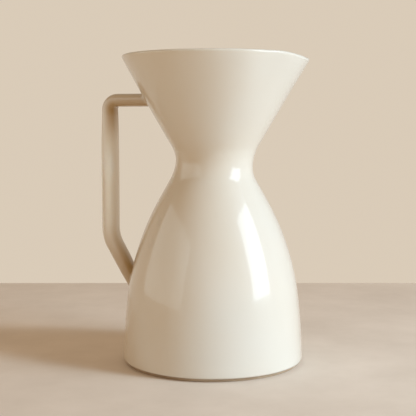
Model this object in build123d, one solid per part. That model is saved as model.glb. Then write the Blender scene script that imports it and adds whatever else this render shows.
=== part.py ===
from build123d import *
from math import asin, cos, degrees, exp, radians, sin, tan
import os

# A stoneware pitcher: a bell-shaped belly thrown in one section, an open funnel
# thrown in another and luted on at the neck, a pouring lip pulled from the rim,
# and a bent bar handle stuck on with slip. Everything but the foot ring is glazed.
# Millimetres. Origin at the centre of the foot, on the belly's axis. +Z is up,
# the lip points to +X and the handle to -X.

# ---- Driving dimensions ----------------------------------------------------

height = 250.0
foot_radius = 73.5
foot_lean = -0.5
clay_wall = 3.5
glaze = 0.5
rim_glaze = 1.2

# The outside of the glaze, from the foot up. Each stretch ends at this height,
# leaning this many degrees outwards from upright, and is the arc that is tangent
# to the stretch below it. Equal leans make a straight stretch.
neck_height = 149.6
outline = [
    (52.0, -6.3),
    (134.0, -29.4),
    (neck_height, -29.4),
    (177.4, 30.7),
    (height, 27.8),
]

# The funnel was set on slightly off the belly's axis, towards the lip.
funnel_shift = 1.7
shift_to = 172.0

# The pouring lip: a pulled-out middle, pinched in on both sides, in a rim that
# dips along an arc.
lip_from = 190.0
lip_pull = 3.2
lip_half_angle = 19.0
lip_pinch = 1.8
pinch_angle = 38.0
pinch_half_angle = 13.0
dip_from = 62.0
dip_radius = 38.0

# The foot: a bare ring under the belly's floor.
foot_height = 2.5
foot_inset = 2.6
foot_width = 9.0
foot_round = 0.8
floor_thickness = 6.0
inside_round = 9.0
bottom_round = 1.6

# The neck joint: a slip layer over a raised ridge in a matching groove.
seam_ridge = 1.6
seam_thickness = 0.6

# The handle: a soft-cornered bar bent to a seven, in the plane y = 0.
bar_thickness = 9.2
bar_width = 15.6
bar_corner = 3.4
arm_height = 214.7
arm_root = 40.0
grip_reach = 90.3
corner_radius = 7.5
bend_height = 100.5
bend_radius = 32.0
leg_lean = 29.5
leg_length = 62.0

# The slip collars round the handle's two joints.
collar_taper = 13.0
collar_length = 20.0
upper_collar_reach = 66.0
lower_collar_height = 71.0

# Sections that the funnel's skins are lofted through.
section_points = 32
section_steps = 18
over_rim = 8.0


# ---- The vessel's form -----------------------------------------------------

def stretches():
    """Each stretch of the outline: its low and high ends as (height, radius, lean)."""
    low = (0.0, foot_radius, radians(foot_lean))
    made = []
    for top, top_lean in outline:
        z, r, lean = low
        turned_to = radians(top_lean)
        if lean == turned_to:
            out = tan(lean) * (top - z)
        else:
            bend = (top - z) / (sin(turned_to) - sin(lean))
            out = bend * (cos(lean) - cos(turned_to))
        high = (top, r + out, turned_to)
        made.append((low, high))
        low = high
    return made


def outline_at(z):
    """The outline's radius and lean at a height; straight on past the rim."""
    for low, high in stretches():
        if z <= high[0]:
            break
    z0, r0, lean = low
    z1, r1, turned_to = high
    if z > z1:
        return r1 + tan(turned_to) * (z - z1), turned_to
    if lean == turned_to:
        return r0 + tan(lean) * (z - z0), lean
    bend = (z1 - z0) / (sin(turned_to) - sin(lean))
    here = asin(sin(lean) + (z - z0) / bend)
    return r0 + bend * (cos(lean) - cos(here)), here


def belly(bottom, inset, rounding):
    """The solid inside one skin of the belly, from its bottom up to the neck."""
    below_neck = [pair for pair in stretches() if pair[1][0] <= neck_height]
    z, r, lean = below_neck[0][0]
    skin = Line((0, z - 1), (r - inset * cos(lean), z - 1))
    skin += Line(skin @ 1, (r - inset * cos(lean), z + inset * sin(lean)))
    for (z0, _, lean), (z1, _, turned_to) in below_neck:
        along = (sin(lean), cos(lean))
        if lean == turned_to:
            run = (z1 - z0) / cos(lean) + inset
            skin += PolarLine(skin @ 1, run, direction=along)
        else:
            bend = abs((z1 - z0) / (sin(turned_to) - sin(lean)) + inset)
            skin += JernArc(skin @ 1, along, bend, degrees(lean - turned_to))
    skin += Polyline(skin @ 1, (0, (skin @ 1).Y), (0, z - 1))
    body = revolve(Plane.XZ * make_face(skin), Axis.Z)
    span = Cylinder(2 * foot_radius, neck_height - bottom, align=(Align.CENTER, Align.CENTER, Align.MIN))
    body &= Pos(0, 0, bottom) * span
    return fillet(body.faces().sort_by(Axis.Z)[0].edges(), rounding)


def shift_at(z):
    """How far the funnel's section is off the belly's axis."""
    t = min(max((z - neck_height) / (shift_to - neck_height), 0.0), 1.0)
    return funnel_shift * t * t * (3.0 - 2.0 * t)


def lip_at(z, angle):
    """How far the pulled lip moves the wall outwards, at an angle in degrees from +X."""
    rise = max((z - lip_from) / (height - lip_from), 0.0)
    pulled = lip_pull * exp(-(angle / lip_half_angle) ** 2)
    beside = (abs(angle) - pinch_angle) / pinch_half_angle
    return rise * rise * (pulled - lip_pinch * exp(-beside ** 2))


def section(z, inset):
    """The funnel's closed section at a height, moved in square to the wall."""
    r, lean = outline_at(z)
    points = []
    for i in range(section_points):
        angle = -180.0 + 360.0 * i / section_points
        out = r - inset / cos(lean) + lip_at(z, angle)
        points.append(Vector(shift_at(z) + out * cos(radians(angle)), out * sin(radians(angle)), z))
    return Face(Wire([Edge.make_spline(points, periodic=True)]))


def mouth(inset):
    """The solid inside one skin of the funnel, from the neck to over the rim."""
    step = (height + over_rim - neck_height) / section_steps
    levels = [neck_height + step * i for i in range(section_steps + 1)]
    return loft([section(z, inset) for z in levels])


def over_the_rim(lowered):
    """Everything above the rim, which runs level and dips along an arc at the lip."""
    top = height - lowered
    reach = 120.0
    edge = Line((-reach, top), (dip_from, top))
    edge += JernArc(edge @ 1, (1, 0), dip_radius, -40)
    edge += Polyline(edge @ 1, (reach, (edge @ 1).Y), (reach, top + 60), (-reach, top + 60), (-reach, top))
    return extrude(Plane.XZ * make_face(edge), amount=reach, both=True)


# ---- The handle's form -----------------------------------------------------

def handle_path():
    """The bar's centre line: arm, tight corner, upright grip, bend, leaning leg."""
    lean = radians(leg_lean)
    foot_of_leg = (-grip_reach + leg_length * sin(lean), 0, bend_height - leg_length * cos(lean))
    corners = [
        (-arm_root, 0, arm_height),
        (-grip_reach, 0, arm_height),
        (-grip_reach, 0, bend_height),
        foot_of_leg,
    ]
    return FilletPolyline(*corners, radius=[corner_radius, bend_radius])


def bar(grown):
    """The bar, grown by a skin's thickness all round."""
    path = handle_path()
    width = bar_width + 2 * grown
    thickness = bar_thickness + 2 * grown
    start = Plane(origin=path @ 0, x_dir=(0, 1, 0), z_dir=path % 0)
    return sweep(start * RectangleRounded(width, thickness, bar_corner + grown), path)


def collars(grown):
    """The slip collars, each a bar section widening towards the wall."""
    lean = radians(leg_lean)
    down_leg = Vector(sin(lean), 0, -cos(lean))
    leg_top = Vector(-grip_reach, 0, bend_height)
    along = (bend_height - lower_collar_height) / cos(lean)
    places = [
        (Vector(-upper_collar_reach, 0, arm_height), Vector(1, 0, 0)),
        (leg_top + down_leg * along, down_leg),
    ]
    made = []
    for origin, direction in places:
        plane = Plane(origin=origin, x_dir=(0, 1, 0), z_dir=direction)
        section_there = RectangleRounded(bar_width + 2 * grown, bar_thickness + 2 * grown, bar_corner)
        made.append(extrude(plane * section_there, amount=collar_length, taper=-collar_taper))
    return made


# ---- The pieces ------------------------------------------------------------

def under_joint(raised):
    """Everything below the neck joint's ridged face, raised by the slip's thickness."""
    ridge_radius = outline_at(neck_height)[0] - glaze - clay_wall / 2
    reach = 2 * foot_radius
    base = neck_height + raised
    edge = [
        (0, -10),
        (reach, -10),
        (reach, base),
        (ridge_radius + seam_ridge, base),
        (ridge_radius, base + seam_ridge),
        (ridge_radius - seam_ridge, base),
        (0, base),
    ]
    return revolve(Plane.XZ * make_face(Polyline(*edge, close=True)), Axis.Z)


def foot():
    """The bare ring that the pitcher stands on."""
    outside = foot_radius - foot_inset
    centred = (Align.CENTER, Align.CENTER, Align.MIN)
    ring = Cylinder(outside, foot_height, align=centred)
    ring -= Cylinder(outside - foot_width, foot_height, align=centred)
    return fillet(ring.edges().group_by(Axis.Z)[0], foot_round)


def joined(lower, upper):
    """The belly's and the funnel's stretch of one wall or coat, made one solid."""
    return lower.fuse(upper, tol=0.002)


def pitcher():
    """Every piece by its node's name."""
    clay_inset = glaze + clay_wall
    liner_inset = clay_inset + glaze
    floor = foot_height + floor_thickness
    clay_belly = belly(foot_height, glaze, bottom_round)
    hollow_belly = belly(floor, clay_inset, inside_round)
    clay_mouth = mouth(glaze)
    hollow_mouth = mouth(clay_inset)
    rim = over_the_rim(0.0)
    clay_rim = over_the_rim(rim_glaze)

    clay_bar = bar(0.0)
    upper_collar, lower_collar = collars(0.0)
    handle = clay_bar - clay_belly - clay_mouth
    upper_seam = upper_collar - clay_bar - clay_mouth
    lower_seam = lower_collar - clay_bar - clay_belly

    funnel_wall = clay_mouth - hollow_mouth - clay_rim
    tongue = funnel_wall & under_joint(0.0)
    slip = (funnel_wall & under_joint(seam_thickness)) - tongue
    funnel = funnel_wall - under_joint(seam_thickness)
    bell = joined(clay_belly - hollow_belly, tongue)

    glazed_belly = belly(foot_height, 0.0, bottom_round)
    glazed_mouth = mouth(0.0)
    belly_coat = glazed_belly - clay_belly - clay_bar - lower_collar
    mouth_coat = (glazed_mouth - rim) - (clay_mouth - clay_rim) - hollow_mouth - clay_bar - upper_collar
    belly_liner = hollow_belly - belly(floor + glaze, liner_inset, inside_round - glaze)
    mouth_liner = hollow_mouth - mouth(liner_inset) - rim

    glazed_bar = bar(glaze)
    for collar in collars(glaze):
        glazed_bar += collar
    handle_coat = glazed_bar - clay_bar - upper_collar - lower_collar - glazed_belly - glazed_mouth

    return {
        "foot_ring": foot(),
        "bell": bell,
        "waist_seam": slip,
        "funnel": funnel,
        "handle": handle,
        "upper_handle_seam": upper_seam,
        "lower_handle_seam": lower_seam,
        "outer_glaze": joined(belly_coat, mouth_coat),
        "liner_glaze": joined(belly_liner, mouth_liner),
        "handle_glaze": handle_coat,
    }


os.makedirs("parts", exist_ok=True)
for name, solid in pitcher().items():
    solid.label = name
    export_step(solid, f"parts/{name}.step")
    print(f"{name}: {len(solid.solids())} solid, {solid.volume / 1000:.1f} cm3")
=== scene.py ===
# %% [markdown]
# # A glazed stoneware pitcher
# A tall pitcher is thrown in two sections, a bell-shaped belly and an open funnel, and the
# two are luted together at the neck. A pouring lip is pulled from the rim, a bent bar handle
# is stuck on with slip, and the whole pot is glazed except for the ring it stands on. The
# clay, its sizes and its joints come from a fixed frame. This file makes what the eye meets:
# the coats of glaze, the slip at the handle's joints, the finishes, and a small studio.

# %% Load the fixed frame
from math import asin, atan2, cos, pi, radians, sin, tan

import bpy
from mathutils import Matrix, Vector


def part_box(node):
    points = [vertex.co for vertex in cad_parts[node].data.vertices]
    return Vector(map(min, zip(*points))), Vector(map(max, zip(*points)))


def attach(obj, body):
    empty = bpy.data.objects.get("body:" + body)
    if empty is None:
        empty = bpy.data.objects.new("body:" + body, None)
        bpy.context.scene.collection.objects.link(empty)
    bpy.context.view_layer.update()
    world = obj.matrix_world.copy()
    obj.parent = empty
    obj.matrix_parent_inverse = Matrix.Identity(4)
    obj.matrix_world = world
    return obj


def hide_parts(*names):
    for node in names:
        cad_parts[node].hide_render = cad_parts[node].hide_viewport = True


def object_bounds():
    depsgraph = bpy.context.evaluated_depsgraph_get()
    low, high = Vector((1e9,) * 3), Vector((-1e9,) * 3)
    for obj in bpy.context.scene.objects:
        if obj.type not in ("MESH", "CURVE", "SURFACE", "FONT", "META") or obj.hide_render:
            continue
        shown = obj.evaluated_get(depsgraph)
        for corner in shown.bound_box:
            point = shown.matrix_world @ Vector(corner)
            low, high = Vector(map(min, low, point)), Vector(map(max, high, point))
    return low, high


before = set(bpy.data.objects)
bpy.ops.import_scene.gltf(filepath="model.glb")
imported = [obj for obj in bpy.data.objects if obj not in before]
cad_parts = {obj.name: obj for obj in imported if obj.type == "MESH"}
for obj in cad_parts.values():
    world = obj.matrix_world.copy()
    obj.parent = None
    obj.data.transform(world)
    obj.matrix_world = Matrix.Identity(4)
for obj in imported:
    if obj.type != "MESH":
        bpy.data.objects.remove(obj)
frame_low, frame_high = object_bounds()
print("frame box in metres:", tuple(frame_low), tuple(frame_high))

# %% [markdown]
# ## Sizes
# Everything is in metres, in the frame's own axes: +Z is up, the lip points to +X and the
# handle to -X. The outline of a thrown pot could be traced point by point, but a potter's
# rib leaves long even curves, so it is better told as a few stretches. Each one ends at a
# height with the wall leaning out by so many degrees, and is the arc tangent to the one below.

# %% Driving sizes
MM = 0.001
RIM_HEIGHT = frame_high.z
FOOT_RADIUS = 73.5 * MM
FOOT_LEAN = -0.5
NECK_HEIGHT = 149.6 * MM
OUTLINE = [
    (52.0 * MM, -6.3),
    (134.0 * MM, -29.4),
    (NECK_HEIGHT, -29.4),
    (177.4 * MM, 30.7),
    (RIM_HEIGHT, 27.8),
]
GLAZE = 0.5 * MM
CLAY_WALL = 3.5 * MM
CLAY_FLOOR = 6.0 * MM
CLAY_INSIDE = GLAZE + CLAY_WALL
LINER_INSIDE = CLAY_INSIDE + GLAZE
FOOT_RING_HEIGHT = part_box("foot_ring")[1].z
FOOT_RING_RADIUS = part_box("foot_ring")[1].x
FLOOR_TOP = FOOT_RING_HEIGHT + CLAY_FLOOR
print("rim height", RIM_HEIGHT, "foot ring", FOOT_RING_RADIUS, "by", FOOT_RING_HEIGHT)

# %% [markdown]
# ## The outline as arcs
# `stretches` works out where each arc starts and ends. `wall_at` gives the wall's radius and
# lean at any height, and `skin` the same line moved into the wall, which is how every coat
# and every clay surface is found from the one outline. A sharp corner would look machined,
# so `softened` puts an arc in place of a corner between two straight runs.

# %% Outline helpers
def stretches():
    """Low and high ends of each stretch, as (height, radius, lean in radians)."""
    low = (0.0, FOOT_RADIUS, radians(FOOT_LEAN))
    made = []
    for top, degrees_out in OUTLINE:
        z, r, lean = low
        turned = radians(degrees_out)
        if lean == turned:
            out = tan(lean) * (top - z)
        else:
            out = (top - z) / (sin(turned) - sin(lean)) * (cos(lean) - cos(turned))
        high = (top, r + out, turned)
        made.append((low, high))
        low = high
    return made


def wall_at(z):
    """The glazed outside's radius and lean at a height."""
    for low, high in stretches():
        if z <= high[0]:
            break
    (z0, r0, lean), (z1, _, turned) = low, high
    if lean == turned:
        return r0 + tan(lean) * (z - z0), lean
    bend = (z1 - z0) / (sin(turned) - sin(lean))
    here = asin(sin(lean) + (z - z0) / bend)
    return r0 + bend * (cos(lean) - cos(here)), here


def skin_point(z, inset=0.0):
    """The point at a height on the wall's outline moved in by an inset."""
    r, lean = wall_at(z)
    return r - inset / cos(lean), z


def skin(low, high, inset=0.0, step=2.0 * MM):
    """Points up one skin of the wall, evenly spaced between two heights."""
    count = round((high - low) / step)
    return [skin_point(low + (high - low) * i / count, inset) for i in range(count + 1)]


def softened(before, corner, after, radius, pieces=8):
    """An arc in place of the corner between two straight runs."""
    before, corner, after = Vector(before), Vector(corner), Vector(after)
    into = (corner - before).normalized()
    out = (after - corner).normalized()
    turn = atan2(into.x * out.y - into.y * out.x, into.dot(out))
    start = corner - into * radius * tan(abs(turn) / 2)
    side = Vector((-into.y, into.x)) * (radius if turn > 0 else -radius)
    spokes = [Matrix.Rotation(turn * i / pieces, 2) @ -side for i in range(pieces + 1)]
    return [tuple(start + side + spoke) for spoke in spokes]


for place_name, z in (("foot", 0.0), ("neck", NECK_HEIGHT), ("rim", RIM_HEIGHT)):
    print("radius at the", place_name, "in mm:", round(wall_at(z)[0] / MM, 1))

# %% [markdown]
# ## Writing node trees as sums
# A thrown wall follows a rule, so Geometry Nodes can make it. Dozens of Math nodes linked by
# hand are hard to read, so `Term` stands for a value on its way through a tree and writes a
# Math or Vector Math node for each sum. A formula in this file then looks like a formula. A
# small sum in a tree of its own shows how many nodes one makes.

# %% Sums of terms
class Term:
    """A number or vector in a node tree. Arithmetic on it adds nodes."""

    def __init__(self, tree, socket):
        self.tree = tree
        self.socket = socket

    def __add__(self, other):
        return sum_of("ADD", self, other)

    __radd__ = __add__

    def __sub__(self, other):
        return sum_of("SUBTRACT", self, other)

    def __rsub__(self, other):
        return self * -1.0 + other

    def __mul__(self, other):
        return sum_of("SCALE" if self.is_vector() else "MULTIPLY", self, other)

    def __truediv__(self, other):
        return sum_of("DIVIDE", self, other)

    def is_vector(self):
        """Whether the value is a vector and not a number."""
        return self.socket.type == "VECTOR"


def feed(tree, socket, value):
    """Link a term to an input, or set the input's own value."""
    if isinstance(value, Term):
        tree.links.new(value.socket, socket)
    else:
        socket.default_value = value


def sum_of(operation, *values, output=0):
    """One Math node, or one Vector Math node where the first value is a vector."""
    tree = next(value.tree for value in values if isinstance(value, Term))
    first = values[0]
    vector = isinstance(first, tuple) or (isinstance(first, Term) and first.is_vector())
    made = tree.nodes.new("ShaderNodeVectorMath" if vector else "ShaderNodeMath")
    made.operation = operation
    sockets = [made.inputs[0], made.inputs["Scale"]] if operation == "SCALE" else made.inputs
    for socket, value in zip(sockets, values):
        feed(tree, socket, value)
    return Term(tree, made.outputs[output])


trial = bpy.data.node_groups.new("trial", "GeometryNodeTree")
height = Term(trial, trial.nodes.new("ShaderNodeValue").outputs[0])
doubled = (height + 1.0) * 2.0
print("(height + 1) * 2 took", len(trial.nodes) - 1, "nodes, ending in", doubled.socket.node.name)
bpy.data.node_groups.remove(trial)

# %% [markdown]
# ## More words for trees
# The other nodes are named by what they are. `node` makes one and feeds its inputs, and
# `result` hands on what comes out of it. Three shapes of curve come up again and again: a
# value kept between 0 and 1, a smooth step, and a bump. They get names here too.

# %% Node helpers
def node(tree, kind, inputs=None, **settings):
    """A new node with its settings made and its named inputs fed."""
    made = tree.nodes.new(kind)
    for name, value in settings.items():
        setattr(made, name, value)
    for name, value in (inputs or {}).items():
        feed(tree, made.inputs[name], value)
    return made


def result(tree, kind, inputs=None, output=0, **settings):
    """What comes out of a new node."""
    return Term(tree, node(tree, kind, inputs, **settings).outputs[output])


def part_of(vector, axis):
    """One component of a vector term."""
    return result(vector.tree, "ShaderNodeSeparateXYZ", {0: vector}, axis)


def vector_of(tree, x, y, z):
    """A vector term from three numbers or terms."""
    return result(tree, "ShaderNodeCombineXYZ", {"X": x, "Y": y, "Z": z})


def unit(vector):
    """A vector made one metre long."""
    return sum_of("NORMALIZE", vector)


def clamped(value):
    """The value kept between 0 and 1."""
    return sum_of("MINIMUM", sum_of("MAXIMUM", value, 0.0), 1.0)


def eased(value):
    """A smooth step from 0 to 1 as the value goes from 0 to 1."""
    t = clamped(value)
    return t * t * (3.0 - t * 2.0)


def bell_curve(value):
    """A bump of height 1 that falls away as the value leaves 0."""
    return sum_of("EXPONENT", value * value * -1.0)


print("words for trees:", [word.__name__ for word in (node, result, part_of, vector_of, unit)])

# %% [markdown]
# ## Running a tree
# A tree has a named input for each size, so the same one can make several pieces. It could
# stay on the object as a modifier, but a plain mesh is safer to hand on: `run_tree` sets the
# inputs, takes the finished mesh, and leaves no modifier behind. It then measures the volume,
# which is positive only if the mesh is closed the right way out.

# %% Trees to meshes
def new_tree(name, sizes):
    """A Geometry Nodes tree with a named input for each size, and a way to reach them."""
    tree = bpy.data.node_groups.new(name, "GeometryNodeTree")
    tree.interface.new_socket("Geometry", in_out="OUTPUT", socket_type="NodeSocketGeometry")
    tree.interface.new_socket("Geometry", in_out="INPUT", socket_type="NodeSocketGeometry")
    for label, kind in sizes.items():
        tree.interface.new_socket(label, in_out="INPUT", socket_type="NodeSocket" + kind)
    entry = tree.nodes.new("NodeGroupInput")
    return tree, {socket.name: Term(tree, socket) for socket in entry.outputs if socket.name}


def finish_tree(tree, mesh, finish):
    """Realise, set the material and pass the mesh out of the tree."""
    real = result(tree, "GeometryNodeRealizeInstances", {"Geometry": mesh})
    done = result(tree, "GeometryNodeSetMaterial", {"Geometry": real, "Material": finish})
    feed(tree, tree.nodes.new("NodeGroupOutput").inputs[0], done)
    print(tree.name, "tree has", len(tree.nodes), "nodes")
    return tree


def volume(mesh):
    """The signed volume inside a closed mesh: positive when its faces point outwards."""
    mesh.calc_loop_triangles()
    corners = [[mesh.vertices[i].co for i in tri.vertices] for tri in mesh.loop_triangles]
    return sum(a.dot(b.cross(c)) for a, b, c in corners) / 6


def run_tree(tree, name, points, edges, values, thickness=None):
    """Run a tree on a few starting points and keep the result as a plain mesh."""
    start = bpy.data.meshes.new(name + "_start")
    start.from_pydata(points, edges, [])
    piece = bpy.data.objects.new(name, start)
    bpy.context.scene.collection.objects.link(piece)
    shape = piece.modifiers.new("shape", "NODES")
    shape.node_group = tree
    for item in tree.interface.items_tree:
        if item.in_out == "INPUT" and item.name in values:
            shape[item.identifier] = values[item.name]
    if thickness:
        wall = piece.modifiers.new("wall", "SOLIDIFY")
        wall.thickness = thickness
        wall.offset = -1.0
    finished = piece.evaluated_get(bpy.context.evaluated_depsgraph_get())
    made = bpy.data.meshes.new_from_object(finished)
    piece.modifiers.clear()
    piece.data = made
    made.name = name
    bpy.data.meshes.remove(start)
    cubic_cm = round(volume(made) * 1e6, 2)
    print(name, "has", len(made.polygons), "faces, volume", cubic_cm, "cm3")
    return piece


print("words for whole trees:", [word.__name__ for word in (new_tree, finish_tree, run_tree)])

# %% [markdown]
# ## A grid bent round
# Every coat here goes once round something, so each starts as a flat grid. Its rows run along
# the piece and its columns round it, and a formula says where each point of it belongs. The
# last column meets the first, and merging closes the seam. Noise in space adds the slight
# unevenness of a hand, and since both sides of a wall read the same noise, they waver together.

# %% Grid helpers
SEAM_GAP = 0.01 * MM
SHARP = 0.7


def lathe_grid(tree, rows, columns):
    """A square grid to bend into shape: its geometry, row from 0, and turn from 0 to 1."""
    counts = {"Size X": 1.0, "Size Y": 1.0, "Vertices X": rows, "Vertices Y": columns + 1}
    grid = result(tree, "GeometryNodeMeshGrid", counts, "Mesh")
    place = result(tree, "GeometryNodeInputPosition")
    row = sum_of("ROUND", (part_of(place, "X") + 0.5) * (rows - 1))
    return grid, row, part_of(place, "Y") + 0.5


def bend_into(tree, grid, place, crease=SHARP):
    """Move the grid's points into place, close its seams, and shade it smooth but for creases."""
    moved = result(tree, "GeometryNodeSetPosition", {"Geometry": grid, "Position": place})
    closing = {"Geometry": moved, "Distance": SEAM_GAP}
    merged = result(tree, "GeometryNodeMergeByDistance", closing)
    smooth = result(tree, "GeometryNodeSetShadeSmooth", {"Geometry": merged})
    angle = result(tree, "GeometryNodeInputMeshEdgeAngle")
    creased = sum_of("GREATER_THAN", angle, crease)
    sharpened = {"Geometry": smooth, "Selection": creased, "Shade Smooth": False}
    return result(tree, "GeometryNodeSetShadeSmooth", sharpened, domain="EDGE")


def unevenness(tree, place, size, seed):
    """A soft unevenness between about -1 and 1, as a hand leaves it."""
    spread = {"Vector": place, "W": seed, "Scale": sum_of("DIVIDE", 1.0, size), "Detail": 1.0}
    noise = result(tree, "ShaderNodeTexNoise", spread, noise_dimensions="4D")
    return (noise - 0.5) * 2.0


print("seams closer than", SEAM_GAP / MM, "mm are closed")

# %% [markdown]
# ## Thrown walls
# Every thrown piece is an outline turned on the wheel, so one tree makes them all. It takes
# the outline as a few points, samples them for each row of a grid, and swings each row round
# the axis. Then come the things a hand did after the wheel: the funnel set on a little off
# centre, the lip pulled out and pinched beside, the rim dipping there along an arc, and a
# slight unevenness all over. Spin would make the round wall, but not the lip. The dip is
# where the leaning wall meets a level cylinder, which is a quadratic to solve.

# %% The thrown-wall tree
THROWN_SIZES = {
    "Around": "Int",
    "Rim height": "Float",
    "Rim lean": "Float",
    "Neck height": "Float",
    "Funnel shift": "Float",
    "Shift to": "Float",
    "Lip from": "Float",
    "Lip pull": "Float",
    "Lip half angle": "Float",
    "Lip pinch": "Float",
    "Pinch angle": "Float",
    "Pinch half angle": "Float",
    "Dip from": "Float",
    "Dip radius": "Float",
    "Dip depth below": "Float",
    "Unevenness": "Float",
    "Unevenness size": "Float",
    "Calm middle": "Float",
    "Ridge height": "Float",
    "Ridge pitch": "Float",
    "Seed": "Float",
    "Finish": "Material",
}


def thrown_wall_tree():
    """The tree that turns an outline into a thrown wall."""
    tree, size = new_tree("thrown wall", THROWN_SIZES)
    outline = size["Geometry"]
    whole = {"Geometry": outline}
    rows = result(tree, "GeometryNodeAttributeDomainSize", whole, "Point Count", component="MESH")
    grid, row, turn = lathe_grid(tree, rows, size["Around"])
    here = result(tree, "GeometryNodeInputPosition")
    at_row = {"Geometry": outline, "Value": here, "Index": row}
    drawn = result(tree, "GeometryNodeSampleIndex", at_row, data_type="FLOAT_VECTOR")
    radius, level = part_of(drawn, "X"), part_of(drawn, "Z")

    angle = turn * (2 * pi) - pi
    across, along = sum_of("COSINE", angle), sum_of("SINE", angle)
    off_centre = eased((level - size["Neck height"]) / (size["Shift to"] - size["Neck height"]))
    shift = off_centre * size["Funnel shift"]

    pulled = bell_curve(angle / size["Lip half angle"]) * size["Lip pull"]
    beside = (sum_of("ABSOLUTE", angle) - size["Pinch angle"]) / size["Pinch half angle"]
    full_lip = pulled - bell_curve(beside) * size["Lip pinch"]
    lip_height = size["Rim height"] - size["Lip from"]

    past = sum_of("MAXIMUM", (radius + full_lip) * across + shift - size["Dip from"], 0.0)
    slope = (sum_of("TANGENT", size["Rim lean"]) + full_lip * 2.0 / lip_height) * across
    span = past * slope + size["Dip radius"]
    steep = slope * slope + 1.0
    dip = (span - sum_of("SQRT", span * span - steep * past * past)) / steep
    near_rim = eased((level - size["Rim height"]) / size["Dip depth below"] + 1.0)
    lowered = level - dip * near_rim
    inward = (level - lowered) * sum_of("TANGENT", size["Rim lean"])
    rise = sum_of("MAXIMUM", (lowered - size["Lip from"]) / lip_height, 0.0)
    lip = rise * rise * full_lip

    spiral = sum_of("SINE", level / size["Ridge pitch"] * (2 * pi) + angle)
    round_place = vector_of(tree, across * radius, along * radius, level)
    uneven = unevenness(tree, round_place, size["Unevenness size"], size["Seed"])
    on_wall = clamped(radius / size["Calm middle"])
    by_hand = uneven * size["Unevenness"] + spiral * size["Ridge height"]
    out = radius - inward + lip + by_hand * on_wall
    place = vector_of(tree, shift + out * across, out * along, lowered)
    return finish_tree(tree, bend_into(tree, grid, place), size["Finish"])


THROWN_WALL = thrown_wall_tree()

# %% [markdown]
# ## Numbers for the wheel and the hand
# The lip's sizes are the clay's own, so the coats lie on it evenly. The unevenness is a tenth
# of a millimetre: too little to see as shape, but it makes the reflections in the glaze waver.
# It dies away at the calm middle of a floor, where all the grid's columns meet.

# %% Thrown-wall sizes
THROWN = {
    "Around": 216,
    "Rim height": RIM_HEIGHT,
    "Rim lean": radians(OUTLINE[-1][1]),
    "Neck height": NECK_HEIGHT,
    "Funnel shift": 1.7 * MM,
    "Shift to": 172.0 * MM,
    "Lip from": 190.0 * MM,
    "Lip pull": 3.2 * MM,
    "Lip half angle": radians(19.0),
    "Lip pinch": 1.8 * MM,
    "Pinch angle": radians(38.0),
    "Pinch half angle": radians(13.0),
    "Dip from": 62.0 * MM,
    "Dip radius": 38.0 * MM,
    "Dip depth below": 40.0 * MM,
    "Unevenness": 0.12 * MM,
    "Unevenness size": 34.0 * MM,
    "Calm middle": 20.0 * MM,
    "Ridge height": 0.0,
    "Ridge pitch": 7.0 * MM,
    "Seed": 3.0,
}


def thrown(name, outline, closed, finish, **changed):
    """A piece turned from (radius, height) points, listed with the piece on the right."""
    points = [(r, 0.0, z) for r, z in outline]
    if closed:
        points.append(points[0])
    values = {**THROWN, "Finish": finish}
    values.update({label.replace("_", " "): value for label, value in changed.items()})
    return run_tree(THROWN_WALL, name, points, [], values)


print("lip pulled", THROWN["Lip pull"] / MM, "mm, on a wheel of", THROWN["Around"], "columns")

# %% [markdown]
# ## Words for finishes
# Finishes are node trees as well, so the same terms write them. All patterns read the piece's
# own coordinates, so they stay put on it, and one noise runs on from piece to piece. The
# helpers here are the few nodes that glaze, clay, slip and table all need.

# %% Finish helpers
def new_finish(name):
    """A material with its Principled shader: the tree and the shader node."""
    finish = bpy.data.materials.new(name)
    finish.use_nodes = True
    return finish, finish.node_tree, finish.node_tree.nodes["Principled BSDF"]


def on_object(tree, stretch=(1.0, 1.0, 1.0)):
    """The object's own coordinates, stretched by a Mapping node."""
    place = result(tree, "ShaderNodeTexCoord", output="Object")
    return result(tree, "ShaderNodeMapping", {"Vector": place, "Scale": stretch})


def noise_at(tree, place, scale, detail, rough=0.5):
    """Noise from 0 to 1."""
    spread = {"Vector": place, "Scale": scale, "Detail": detail, "Roughness": rough}
    return result(tree, "ShaderNodeTexNoise", spread)


def ramp(tree, value, stops):
    """A colour ramp through (position, colour) stops."""
    made = node(tree, "ShaderNodeValToRGB", {"Fac": value})
    elements = made.color_ramp.elements
    while len(elements) < len(stops):
        elements.new(0.5)
    for element, (position, colour) in zip(elements, stops):
        element.position = position
        element.color = (*colour, 1.0)
    return Term(tree, made.outputs[0])


def ranged(tree, value, low, high, to_low, to_high):
    """A value's range mapped to another, smoothly and kept inside it."""
    ends = {"Value": value, "From Min": low, "From Max": high, "To Min": to_low, "To Max": to_high}
    return result(tree, "ShaderNodeMapRange", ends, interpolation_type="SMOOTHSTEP")


def mixed(tree, share, one, other):
    """A mix of two colours."""
    made = node(tree, "ShaderNodeMix", data_type="RGBA")
    feed(tree, made.inputs[0], share)
    for socket, colour in ((made.inputs[6], one), (made.inputs[7], other)):
        feed(tree, socket, colour if isinstance(colour, Term) else (*colour, 1.0))
    return Term(tree, made.outputs[2])


def bumped(tree, height, depth):
    """A normal bumped by a height field of the given depth in metres."""
    relief = {"Height": height, "Distance": depth, "Strength": 1.0}
    return result(tree, "ShaderNodeBump", relief)


finish_words = (new_finish, on_object, noise_at, ramp, ranged, mixed, bumped)
print("words for finishes:", [word.__name__ for word in finish_words])
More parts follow.
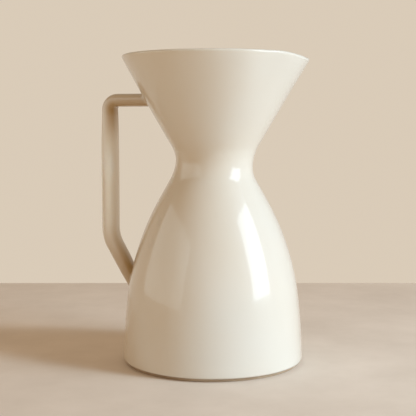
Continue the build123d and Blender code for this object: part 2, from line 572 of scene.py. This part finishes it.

# %% [markdown]
# ## The glaze
# Glaze is glass over clay. One Principled shader can be it: the clay and glaze colour below,
# a coat on top for the glass, small changes of tone, and on the handle pooled glaze and painted
# shade.
# Nothing on the pot is one flat colour, so slow noise warms and cools the cream, and another
# makes the swell that a dipped coat keeps, drawn out a little downwards as the glaze ran.

# %% The glaze
WARM_CREAM = (0.82, 0.76, 0.665)
CREAM = (0.82, 0.78, 0.705)
COOL_CREAM = (0.80, 0.785, 0.73)
TONE_STOPS = (0.3, 0.5, 0.72)
SMOOTHEST, ROUGHEST = 0.18, 0.25
GLASS = {"IOR": 1.45, "Coat Weight": 0.75, "Coat Roughness": 0.03, "Coat IOR": 1.45}
RAN_DOWN = (1.0, 1.0, 0.5)
PEEL_SHARE = 0.01


def glaze(name, ripple, pooling_and_shade=None, tones=(WARM_CREAM, CREAM, COOL_CREAM)):
    """Glossy cream glaze, a little warmer and cooler in places, with a faint ripple, and any pooled
    glaze and painted shade it is given.
    """
    finish, tree, shader = new_finish(name)
    place = on_object(tree)
    drift = noise_at(tree, place, scale=9.0, detail=2.0)
    cloud = noise_at(tree, place, scale=30.0, detail=1.0)
    tone = ramp(tree, drift, list(zip(TONE_STOPS, tones)))
    tone = mixed(tree, ranged(tree, cloud, 0.35, 0.7, to_low=0.0, to_high=0.1), tone, tones[0])
    # Mix in pooled glaze and painted shade where a piece gives them.
    if pooling_and_shade:
        share, colour = pooling_and_shade(tree, place)
        tone = mixed(tree, share, tone, colour)
    feed(tree, shader.inputs["Base Color"], tone)
    roughness = ranged(tree, cloud, 0.3, 0.7, to_low=SMOOTHEST, to_high=ROUGHEST)
    feed(tree, shader.inputs["Roughness"], roughness)
    for socket_name, value in GLASS.items():
        shader.inputs[socket_name].default_value = value
    swell = noise_at(tree, on_object(tree, RAN_DOWN), scale=34.0, detail=0.0)
    peel = noise_at(tree, place, scale=420.0, detail=1.0)
    soft = bumped(tree, swell + peel * PEEL_SHARE, ripple)
    feed(tree, shader.inputs["Normal"], soft)
    feed(tree, shader.inputs["Coat Normal"], soft)
    print(name, "finish has", len(tree.nodes), "nodes")
    return finish


OUTER_GLAZE = glaze("outer_glaze", ripple=0.35 * MM)
LINER_GLAZE = glaze("liner_glaze", ripple=0.35 * MM)

# %% [markdown]
# ## The outer coat
# The pot was dipped: the coat wraps the foot's edge, climbs the belly, waist and funnel, and
# rolls over the rim a little way down inside. Its outline is a closed loop, out along the
# skin and back along the clay, so the coat is a real half-millimetre wall of glass.

# %% The outer coat of glaze
FOOT_EDGE = 1.6 * MM
RIM_EDGE_OUT = 1.5 * MM
RIM_EDGE_IN = 2.2 * MM
RIM_CLAY = RIM_HEIGHT - 1.2 * MM
WALL_STARTS = 8.0 * MM
WALL_ENDS = RIM_HEIGHT - 8.0 * MM
COAT_LAPS_TO = RIM_HEIGHT - 7.0 * MM


def outer_coat_outline():
    """Out along the skin from the foot to just inside the rim, then back along the clay."""
    foot = (FOOT_RING_RADIUS, FOOT_RING_HEIGHT)
    edge_out, edge_in = skin_point(RIM_HEIGHT), skin_point(RIM_HEIGHT, LINER_INSIDE)
    path = softened(foot, skin_point(FOOT_RING_HEIGHT), skin_point(WALL_STARTS), FOOT_EDGE)
    path += skin(WALL_STARTS, WALL_ENDS)
    path += softened(skin_point(WALL_ENDS), edge_out, edge_in, RIM_EDGE_OUT)
    path += softened(edge_out, edge_in, skin_point(WALL_ENDS, LINER_INSIDE), RIM_EDGE_IN)
    path += [skin_point(COAT_LAPS_TO, LINER_INSIDE), skin_point(COAT_LAPS_TO, CLAY_INSIDE)]
    path += [skin_point(RIM_CLAY, CLAY_INSIDE), skin_point(RIM_CLAY, GLAZE)]
    path += skin(WALL_STARTS, WALL_ENDS, GLAZE)[::-1]
    clay_corner = (skin_point(FOOT_RING_HEIGHT, GLAZE), skin_point(WALL_STARTS, GLAZE))
    clay_edge = softened(foot, *clay_corner, FOOT_EDGE)
    return (path + clay_edge[:3:-1])[::-1]


outer_coat = thrown("outer_glaze_coat", outer_coat_outline(), True, OUTER_GLAZE)
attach(outer_coat, "root")
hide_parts("outer_glaze")

# %% [markdown]
# ## The liner
# Glaze was swilled round the inside first. It runs from the middle of the floor, through the
# rounded corner a finger leaves there, and up to meet the outer coat inside the rim. Faint
# spiral ridges from the throwing hand show through it.

# %% The liner of glaze
INSIDE_ROUND = 9.0 * MM
FLOOR_STEP = 12.0 * MM


def liner_outline():
    """From the floor's middle up the liner's skin, then back along the clay to the middle."""
    glazed_floor = FLOOR_TOP + GLAZE
    starts = glazed_floor + 2 * INSIDE_ROUND
    path = []
    for inset, floor, radius in (
        (LINER_INSIDE, glazed_floor, INSIDE_ROUND - GLAZE),
        (CLAY_INSIDE, FLOOR_TOP, INSIDE_ROUND),
    ):
        up = [(step * FLOOR_STEP, floor) for step in range(5)]
        up += softened((0.0, floor), skin_point(floor, inset), skin_point(starts, inset), radius)
        up += skin(starts, COAT_LAPS_TO, inset)
        path = path + up[::-1] if path else up
    return path


liner = thrown("liner_glaze_coat", liner_outline(), False, LINER_GLAZE, Ridge_height=0.05 * MM)
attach(liner, "root")
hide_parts("liner_glaze")

# %% [markdown]
# ## Bare clay
# Unglazed stoneware is matt and warm brown, with dark specks of iron. The trimming tool left
# fine rings round the wheel's axis. They could be cut into the mesh, but they are finer than
# a tenth of a millimetre, so a sine of the distance from the axis goes into the bump instead.

# %% The bare clay
BARE_CLAY = (0.52, 0.40, 0.285)
DARK_CLAY = (0.38, 0.27, 0.18)
TRIMMING_PITCH = 1.3 * MM
TRIMMING_SHARE = 0.3


def bare_clay(name, colour, dark, grain):
    """Unglazed fired clay: matt, speckled, with the fine rings of the trimming tool."""
    finish, tree, shader = new_finish(name)
    place = on_object(tree)
    drift = noise_at(tree, place, scale=30.0, detail=4.0, rough=0.6)
    speck = noise_at(tree, place, scale=1400.0, detail=2.0, rough=0.7)
    tone = ramp(tree, drift, [(0.3, dark), (0.62, colour)])
    tone = mixed(tree, ranged(tree, speck, 0.6, 0.72, to_low=0.0, to_high=0.5), tone, dark)
    feed(tree, shader.inputs["Base Color"], tone)
    roughness = ranged(tree, drift, 0.3, 0.7, to_low=0.72, to_high=0.9)
    feed(tree, shader.inputs["Roughness"], roughness)
    reach = sum_of("LENGTH", sum_of("MULTIPLY", place, (1.0, 1.0, 0.0)), output=1)
    rings = sum_of("SINE", reach * (2 * pi / TRIMMING_PITCH))
    feed(tree, shader.inputs["Normal"], bumped(tree, rings * TRIMMING_SHARE + speck, grain))
    print(name, "finish has", len(tree.nodes), "nodes")
    return finish


FIRED_CLAY = bare_clay("bare_clay", BARE_CLAY, DARK_CLAY, grain=0.12 * MM)

# %% [markdown]
# ## The foot ring
# The pot stands on a ring of bare clay, because glaze would fuse it to the kiln shelf. The
# ring is turned like the rest, with its standing edges worn round, and trimmed a little
# inside the belly so that a thin line of shadow lifts the pot off the table.

# %% The bare foot ring
FOOT_RING_WIDTH = 9.0 * MM
WORN_EDGE = 0.8 * MM


def foot_ring_outline():
    """A closed loop round the ring's section."""
    outside, inside = FOOT_RING_RADIUS, FOOT_RING_RADIUS - FOOT_RING_WIDTH
    top = FOOT_RING_HEIGHT
    path = [(outside, top)]
    path += softened((outside, top), (outside, 0.0), (inside, 0.0), WORN_EDGE)
    path += softened((outside, 0.0), (inside, 0.0), (inside, top), WORN_EDGE)
    return path + [(inside, top)]


foot_ring = thrown("bare_foot_ring", foot_ring_outline(), True, FIRED_CLAY, Unevenness=0.0)
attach(foot_ring, "root")
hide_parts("foot_ring")

# %% [markdown]
# ## The handle
# The handle is a pulled bar, bent to a seven while the clay was soft and stuck on with slip.
# Its middle is a line of three straight runs. A curve could be drawn by hand with its bends,
# but three lengths and a lean say it all, and Fillet Curve rounds the two corners: the upper
# one tight, the lower one an easy bend. The section is a soft-cornered box, between a circle
# and a square, whose normal is known at every point.

# %% The bar's line and section
ARM_STARTS = -40.0 * MM
ARM_HEIGHT = 214.7 * MM
GRIP_REACH = 90.3 * MM
BEND_HEIGHT = 100.5 * MM
LEG_LENGTH = 62.0 * MM
LEG_LEAN = radians(29.5)
BAR_PATH = [
    (ARM_STARTS, 0.0, ARM_HEIGHT),
    (-GRIP_REACH, 0.0, ARM_HEIGHT),
    (-GRIP_REACH, 0.0, BEND_HEIGHT),
    (-GRIP_REACH + LEG_LENGTH * sin(LEG_LEAN), 0.0, BEND_HEIGHT - LEG_LENGTH * cos(LEG_LEAN)),
]
BAR_EDGES = [(0, 1), (1, 2), (2, 3)]
PIECES_PER_BEND = 24
PIECES_OF_LINE = 400
Y_AXIS = (0.0, 1.0, 0.0)


def bar_line(tree, size):
    """The bar's centre line as a curve with its two bends rounded, and its length."""
    curve = result(tree, "GeometryNodeMeshToCurve", {"Mesh": size["Geometry"]})
    index = result(tree, "GeometryNodeInputIndex")
    wider = size["Bend radius"] - size["Corner radius"]
    radius = size["Corner radius"] + clamped(index - 1.0) * wider
    bends = {"Curve": curve, "Count": PIECES_PER_BEND, "Radius": radius}
    bent = result(tree, "GeometryNodeFilletCurve", bends, mode="POLY")
    even = {"Curve": bent, "Count": PIECES_OF_LINE}
    line = result(tree, "GeometryNodeResampleCurve", even)
    return line, result(tree, "GeometryNodeCurveLength", {"Curve": line})


def bar_section(size, turn):
    """A soft-cornered section: places across and through the bar, and the normal there."""
    angle = turn * (2 * pi)
    power = sum_of("DIVIDE", 2.0, size["Squareness"])
    found = []
    for wave, span in (("COSINE", size["Width"] * 0.5), ("SINE", size["Thickness"] * 0.5)):
        swing = sum_of(wave, angle)
        sign, swing = sum_of("SIGN", swing), sum_of("ABSOLUTE", swing)
        found.append(sign * sum_of("POWER", swing, power) * span)
        found.append(sign * sum_of("POWER", swing, 2.0 - power) / span)
    return found


def on_line(tree, line, length):
    """The centre line's point, direction and outward side at a length along it."""
    along = {"Curves": line, "Length": length}
    sample = node(tree, "GeometryNodeSampleCurve", along, mode="LENGTH")
    direction = unit(Term(tree, sample.outputs["Tangent"]))
    side = sum_of("CROSS_PRODUCT", Y_AXIS, direction)
    return Term(tree, sample.outputs["Position"]), direction, side


runs = [(Vector(BAR_PATH[b]) - Vector(BAR_PATH[a])).length for a, b in BAR_EDGES]
print("arm, grip and leg in mm, before the bends:", [round(run / MM, 1) for run in runs])

# %% [markdown]
# ## Where the bar meets the pot
# The glaze pools in the two joints, so the coat must flow out onto the wall in a small curve
# all round. That is hard with a boolean and easy by rule: follow each line along the bar
# until a ray meets the wall, then round the corner between the two with a short Bezier
# curve. The rays find the wall as it is, so the joint follows if the pot's size changes.

# %% Joint helpers
RAY_LENGTH = 80.0 * MM
RAY_LIFT = 2.0 * MM


def ray(tree, wall, source, direction):
    """Where a ray meets a wall, the wall's normal there, and the distance."""
    target = result(tree, "GeometryNodeObjectInfo", {"Object": wall}, "Geometry")
    aimed = {
        "Target Geometry": target,
        "Source Position": source,
        "Ray Direction": direction,
        "Ray Length": RAY_LENGTH,
    }
    cast = node(tree, "GeometryNodeRaycast", aimed)
    names = ("Hit Position", "Hit Normal", "Hit Distance")
    return [Term(tree, cast.outputs[name]) for name in names]


def joint(tree, size, line, section, wall, station, way, reach):
    """The curve that rounds a joint: its point on the wall, its corner, its point on the bar.

    The fourth value is how far along the bar's line the last of them is.
    """
    across, across_normal, through, through_normal = section
    middle, direction, side = on_line(tree, line, station)
    towards = direction * way
    source = middle + vector_of(tree, 0.0, across, 0.0) + side * through
    corner, wall_normal, distance = ray(tree, wall, source, towards)
    outward = unit(vector_of(tree, 0.0, across_normal, 0.0) + side * through_normal)
    leaving = sum_of("DOT_PRODUCT", outward, wall_normal, output=1)
    along_wall = unit(outward - wall_normal * leaving)
    above = corner + along_wall * reach + wall_normal * RAY_LIFT
    landed, landed_normal, _ = ray(tree, wall, above, wall_normal * -1.0)
    on_wall = landed - landed_normal * size["Sink"]
    return on_wall, corner, corner - towards * reach, station + (distance - reach) * way


def rounded(one, corner, other, share):
    """A point on the Bezier curve from one point to the other, bent towards the corner."""
    rest = 1.0 - share
    return one * (rest * rest) + corner * (share * rest * 2.0) + other * (share * share)


print("rays look", RAY_LENGTH / MM, "mm along the bar for a wall")

# %% [markdown]
# ## The handle's glaze
# On the bar the cream is paler and cooler than on the pot, as painted light on the open runs,
# and brown at the lower joint, inside the upper corner and a little along the arm: partly glaze
# that ran together there and partly painted shade where bar and pot shade each other. Those
# places could be painted as a texture, but they follow from height and from which way the
# surface faces, so a few ranges of the object's own coordinates and its normal find them.

# %% The handle's glaze
# Paler, cooler creams for the bar: painted light, brighter than the pot's own cream.
PAINTED_LIGHT_CREAMS = ((0.86, 0.81, 0.74), (0.88, 0.85, 0.80), (0.89, 0.875, 0.83))
# Brown of pooled glaze and painted shade, and the heights and places where it is mixed in.
POOLED_AND_PAINTED_SHADE = (0.50, 0.34, 0.16)
LEG_POOL_AND_SHADE = (62.0 * MM, 116.0 * MM)
CORNER_POOL_AND_SHADE = (176.0 * MM, 208.0 * MM)
CORNER_BACK = (-95.0 * MM, -89.0 * MM)
ARM_SHADE = (200.0 * MM, 206.0 * MM)


def pooling_and_painted_shade_on_handle(tree, place):
    """How much pooled glaze and painted shade lies at each place on the handle, and its colour."""
    x, z = part_of(place, "X"), part_of(place, "Z")
    leg = ranged(tree, z, *LEG_POOL_AND_SHADE, to_low=1.2, to_high=0.0)
    top = ranged(tree, z, *CORNER_POOL_AND_SHADE, to_low=0.0, to_high=0.85)
    top = top * ranged(tree, x, *CORNER_BACK, to_low=0.2, to_high=1.0)
    # Faces turned towards the pot and downwards get more of the painted shade.
    facing = result(tree, "ShaderNodeNewGeometry", output="Normal")
    shade_facing = part_of(facing, "X") - part_of(facing, "Z") * 0.4
    inside = ranged(tree, shade_facing, -0.5, 0.6, to_low=0.35, to_high=1.0)
    arm = ranged(tree, z, *ARM_SHADE, to_low=0.0, to_high=0.12)
    return clamped((leg + top) * inside + arm), POOLED_AND_PAINTED_SHADE


# The handle's glaze takes the painted light creams and the pooled glaze with painted shade.
HANDLE_GLAZE = glaze("handle_glaze", 0.12 * MM, pooling_and_painted_shade_on_handle, PAINTED_LIGHT_CREAMS)

# %% [markdown]
# ## The coat over the bar
# The coat runs from the funnel's wall, round the upper joint, along the bar and round the
# lower joint onto the belly's wall. A pulled bar is never quite even, so it swells a little
# over the grip. The tree makes the outer skin, and Solidify gives it a wall inwards, so that
# it is a closed piece like the other coats.

# %% The bar's coat as a tree
BAR_SIZES = {
    "Rows": "Int",
    "Around": "Int",
    "Fillet rows": "Int",
    "Width": "Float",
    "Thickness": "Float",
    "Squareness": "Float",
    "Corner radius": "Float",
    "Bend radius": "Float",
    "Arm station": "Float",
    "Leg station": "Float",
    "Arm fillet": "Float",
    "Leg fillet": "Float",
    "Sink": "Float",
    "Grip swell": "Float",
    "Unevenness": "Float",
    "Unevenness size": "Float",
    "Seed": "Float",
    "Arm wall": "Object",
    "Leg wall": "Object",
    "Finish": "Material",
}
GRIP_STARTS, GRIP_RATE = 0.14, 5.0
LEG_STARTS, LEG_RATE, LEG_LOSES = 0.7, 3.4, 0.5
END_RATE = 16.0
CALM_ENDS = 12.0


def swelling(share, height):
    """How far the grip swells at a share of the bar's length: less on the leg, none at its end."""
    grip = eased((share - GRIP_STARTS) * GRIP_RATE)
    leg = eased((share - LEG_STARTS) * LEG_RATE)
    return grip * (1.0 - leg * LEG_LOSES) * height * clamped((1.0 - share) * END_RATE)


def bar_coat_tree():
    """The tree for the skin of glaze over the bar and its joints."""
    tree, size = new_tree("bar coat", BAR_SIZES)
    line, total = bar_line(tree, size)
    rows, fillet = size["Rows"], size["Fillet rows"]
    grid, row, turn = lathe_grid(tree, rows, size["Around"])
    section = bar_section(size, turn)
    leg_station = total - size["Leg station"]
    arm_end = (size["Arm wall"], size["Arm station"], -1.0, size["Arm fillet"])
    leg_end = (size["Leg wall"], leg_station, 1.0, size["Leg fillet"])
    *upper, start = joint(tree, size, line, section, *arm_end)
    *lower, end = joint(tree, size, line, section, *leg_end)
    share = clamped((row - fillet) / (rows - 1.0 - fillet * 2.0))
    middle, direction, side = on_line(tree, line, start + (end - start) * share)
    across, across_normal, through, through_normal = section
    normal = unit(vector_of(tree, 0.0, across_normal, 0.0) + side * through_normal)
    place = middle + vector_of(tree, 0.0, across, 0.0) + side * through
    uneven = unevenness(tree, place, size["Unevenness size"], size["Seed"]) * size["Unevenness"]
    uneven = uneven * clamped(share * (1.0 - share) * CALM_ENDS)
    place = place + normal * (uneven + swelling(share, size["Grip swell"]))
    up = rounded(*upper, clamped(row / fillet)) - upper[2]
    down = rounded(*lower[::-1], clamped((row - rows + 1.0) / fillet + 1.0)) - lower[2]
    return finish_tree(tree, bend_into(tree, grid, place + up + down), size["Finish"])


BAR_COAT = bar_coat_tree()

# %% [markdown]
# ## The coat's sizes
# The coat's section is a little larger than the clay bar's, and the fillets at the joints
# are a few millimetres, as wide as a fingertip leaves them. Stations are where the rays
# start: clear of both walls, and counted from the two ends of the line.

# %% The handle's coat of glaze
BAR = {
    "Rows": 220,
    "Around": 56,
    "Fillet rows": 8,
    "Width": 17.0 * MM,
    "Thickness": 10.8 * MM,
    "Squareness": 2.7,
    "Corner radius": 7.5 * MM,
    "Bend radius": 32.0 * MM,
    "Arm station": 32.0 * MM,
    "Leg station": 42.0 * MM,
    "Arm fillet": 3.6 * MM,
    "Leg fillet": 4.6 * MM,
    "Sink": 0.05 * MM,
    "Grip swell": 0.9 * MM,
    "Unevenness": 0.16 * MM,
    "Unevenness size": 26.0 * MM,
    "Seed": 8.0,
}
BAR_COAT_WALL = 1.0 * MM
coat_values = {**BAR, "Arm wall": outer_coat, "Leg wall": outer_coat, "Finish": HANDLE_GLAZE}
bar_coat = run_tree(
    BAR_COAT, "handle_glaze_coat", BAR_PATH, BAR_EDGES, coat_values, thickness=BAR_COAT_WALL
)
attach(bar_coat, "root")
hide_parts("handle_glaze")

# %% [markdown]
# ## The slip at the joints
# Before it was glazed, each end of the bar was scored, wetted with slip and pressed to the
# wall, and the slip that squeezed out was wiped to a curve with a finger. It is a ring with
# three sides: the wiped curve, and the two faces that sit on the bar and on the wall. The
# rays meet the clay's walls this time, because the slip lies under the glaze.

# %% The slip rings
SLIP_TONE = (0.56, 0.44, 0.32)
FIRED_SLIP = bare_clay("slip", SLIP_TONE, BARE_CLAY, grain=0.05 * MM)
SLIP_SHARP = 0.4
SLIP = {
    "Width": 15.6 * MM,
    "Thickness": 9.2 * MM,
    "Arm fillet": 3.2 * MM,
    "Leg fillet": 4.0 * MM,
    "Sink": 0.0,
    "Finish": FIRED_SLIP,
}


def slip_tree():
    """The tree for one ring of slip. Its way is -1 at the arm's end and 1 at the leg's."""
    tree, size = new_tree("slip ring", {**BAR_SIZES, "Way": "Float"})
    line, total = bar_line(tree, size)
    fillet, way = size["Fillet rows"], size["Way"]
    grid, row, turn = lathe_grid(tree, fillet + 3.0, size["Around"])
    at_leg = way * 0.5 + 0.5
    station = size["Arm station"] + (total - size["Leg station"] - size["Arm station"]) * at_leg
    reach = size["Arm fillet"] + (size["Leg fillet"] - size["Arm fillet"]) * at_leg
    section = bar_section(size, turn * way * -1.0)
    found = joint(tree, size, line, section, size["Arm wall"], station, way, reach)
    wall, corner, bar, _ = found
    past = row - fillet
    curve = rounded(wall, corner, bar, clamped(row / fillet))
    place = curve + (corner - bar) * clamped(past) + (wall - corner) * clamped(past - 1.0)
    return finish_tree(tree, bend_into(tree, grid, place, SLIP_SHARP), size["Finish"])


SLIP_RING = slip_tree()
for name, replaced, wall, way in (
    ("upper_joint_slip", "upper_handle_seam", "funnel", -1.0),
    ("lower_joint_slip", "lower_handle_seam", "bell", 1.0),
):
    values = {**BAR, **SLIP, "Arm wall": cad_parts[wall], "Way": way}
    ring = run_tree(SLIP_RING, name, BAR_PATH, BAR_EDGES, values)
    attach(ring, "root")
    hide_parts(replaced)

# %% [markdown]
# ## The clay and the seam
# The clay pieces are the fixed frame's own shapes, unchanged. The coats hide them but for the
# belly's underside inside the foot ring, and each gets the bare clay or the slip finish.

# %% Finishes for the fixed clay
for name, finish in (
    ("bell", FIRED_CLAY),
    ("funnel", FIRED_CLAY),
    ("handle", FIRED_CLAY),
    ("waist_seam", FIRED_SLIP),
):
    for material_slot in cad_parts[name].material_slots:
        material_slot.material = finish
    print(name, "takes", [held.material.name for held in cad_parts[name].material_slots])

# %% [markdown]
# ## The table
# The pot stands on a plain pale top with round corners. It is a little mottled, and rough
# enough that it takes a soft shadow and hardly any reflection.

# %% The table
TURNED = radians(17.0)
TABLE_HALF = 0.384
TABLE_CORNER = 0.03
CORNER_STEPS = 8
TABLE_THICK = 0.02
TABLE_TONES = [(0.3, (0.79, 0.71, 0.63)), (0.7, (0.89, 0.81, 0.73))]


def table_top():
    """A thin square slab with round corners, closed on all sides."""
    rim = []
    for corner in range(4):
        middle = Matrix.Rotation(corner * pi / 2, 2) @ Vector((1, 1)) * (TABLE_HALF - TABLE_CORNER)
        for step in range(CORNER_STEPS + 1):
            angle = corner * pi / 2 + step * pi / 2 / CORNER_STEPS
            rim.append((middle.x + TABLE_CORNER * cos(angle), middle.y + TABLE_CORNER * sin(angle)))
    count = len(rim)
    points = [(x, y, 0.0) for x, y in rim] + [(x, y, -TABLE_THICK) for x, y in rim]
    faces = [list(range(count)), list(range(2 * count - 1, count - 1, -1))]
    faces += [(i, i + count, (i + 1) % count + count, (i + 1) % count) for i in range(count)]
    mesh = bpy.data.meshes.new("table")
    mesh.from_pydata(points, [], faces)
    table = bpy.data.objects.new("table", mesh)
    table.rotation_euler.z = TURNED
    bpy.context.scene.collection.objects.link(table)
    return table


table_finish, tree, shader = new_finish("table")
mottle = noise_at(tree, on_object(tree), scale=12.0, detail=5.0, rough=0.6)
feed(tree, shader.inputs["Base Color"], ramp(tree, mottle, TABLE_TONES))
shader.inputs["Roughness"].default_value = 0.75
table = table_top()
table.data.materials.append(table_finish)
print("table", round(2 * TABLE_HALF, 3), "m square, volume", round(volume(table.data), 5), "m3")

# %% [markdown]
# ## The camera
# It stands in front of the pot's broad side, turned with the table, a little below the rim
# and tilted slightly down. `across` is the direction that is right in its view, and `away`
# looks into it.

# %% The camera
CAMERA_BACK = 0.776
CAMERA_ACROSS = -0.0041
CAMERA_HEIGHT = 0.1935
CAMERA_DOWN = 4.95
across = Vector((cos(TURNED), sin(TURNED), 0.0))
away = Vector((-sin(TURNED), cos(TURNED), 0.0))

camera = bpy.data.objects.new("camera", bpy.data.cameras.new("camera"))
camera.data.lens = 82.2
camera.data.sensor_width = 36.0
stand = away * -CAMERA_BACK + across * CAMERA_ACROSS
camera.location = stand + Vector((0.0, 0.0, CAMERA_HEIGHT))
camera.rotation_euler = (radians(90.0 - CAMERA_DOWN), 0.0, TURNED)
bpy.context.scene.collection.objects.link(camera)
bpy.context.scene.camera = camera
bpy.context.scene.view_settings.view_transform = "Standard"
print("camera", round(stand.length, 3), "m back and", CAMERA_HEIGHT, "m up")

# %% [markdown]
# ## The light
# A tall window stands to the right, and gives the bright streak on the belly. Two lamps near
# it, one high and one low, give the light its edge, lift the funnel's underside and throw the
# shadow to the left. Glaze would show them as odd spots, so they aren't mirrored. On the left
# stands a broad pale wall that is only mirrored, as a wide soft sheen, and a small card in
# front throws a little light on the grip alone.

# %% The light
POT_MIDDLE = (0.0, 0.0, 0.12)
GRIP_MIDDLE = (-0.088, 0.0, 0.140)


def panel(name, side, height, distance, size, strength, colour, aim=POT_MIDDLE, spread=180.0):
    """A rectangular light facing its aim, from a direction in degrees right of the camera."""
    data = bpy.data.lights.new(name, "AREA")
    data.shape = "RECTANGLE"
    data.size, data.size_y = size
    data.energy = strength
    data.color = colour
    data.spread = radians(spread)
    lamp = bpy.data.objects.new(name, data)
    towards = away * -cos(radians(side)) + across * sin(radians(side))
    reach = towards * cos(radians(height)) + Vector((0.0, 0.0, sin(radians(height))))
    lamp.location = Vector(aim) + reach * distance
    lamp.rotation_euler = reach.to_track_quat("Z", "Y").to_euler()
    lamp.visible_camera = False
    bpy.context.scene.collection.objects.link(lamp)
    print(name, "stands at", [round(part, 2) for part in lamp.location])
    return lamp


panel("window", 67.0, 21.0, 1.2, size=(0.60, 0.84), strength=6.0, colour=(0.86, 1.05, 1.22))
key = panel("key", 66.5, 33.0, 2.6, size=(0.4, 0.4), strength=21.6, colour=(0.68, 0.83, 0.93))
key.visible_glossy = False
low = panel("low", 57.0, 3.0, 2.4, size=(0.3, 0.3), strength=10.0, colour=(0.68, 1.04, 1.27))
low.visible_glossy = False
sheen = panel("sheen", -73.0, 17.0, 1.4, size=(1.76, 0.9), strength=5.4, colour=(0.72, 0.89, 0.93))
sheen.visible_diffuse = False
card = {"size": (0.09, 0.07), "strength": 0.0026, "colour": (0.72, 0.85, 0.79)}
panel("card", -14.0, 6.0, 0.9, **card, aim=GRIP_MIDDLE, spread=4.0)

# %% [markdown]
# ## The room
# The room is beige. It could be one even background, but a pot fills its own surroundings
# with shade: what lights it from above is dimmer than what lights it from the sides, and a
# mirrored wall is brighter than the light it throws. Light Path tells the three uses apart.

# %% The room
ROOM_TOP = 0.7
SIDE_LIGHT, TOP_LIGHT = (0.57, 0.42, 0.27), (0.44, 0.32, 0.21)
SIDE_MIRRORED, TOP_MIRRORED = (0.62, 0.53, 0.43), (0.30, 0.26, 0.20)
WALL_SEEN = (0.70, 0.60, 0.48)

world = bpy.data.worlds.new("room")
world.use_nodes = True
bpy.context.scene.world = world
tree = world.node_tree
background = tree.nodes["Background"]
path = node(tree, "ShaderNodeLightPath")
up = part_of(result(tree, "ShaderNodeTexCoord", output="Generated"), "Z")
overhead = ranged(tree, up, 0.0, ROOM_TOP, to_low=0.0, to_high=1.0)
filling = mixed(tree, overhead, SIDE_LIGHT, TOP_LIGHT)
mirrored = mixed(tree, overhead, SIDE_MIRRORED, TOP_MIRRORED)
room = mixed(tree, Term(tree, path.outputs["Is Glossy Ray"]), filling, mirrored)
room = mixed(tree, Term(tree, path.outputs["Is Camera Ray"]), room, WALL_SEEN)
feed(tree, background.inputs["Color"], room)
background.inputs["Strength"].default_value = 1.0
print("room has", len(tree.nodes), "nodes")
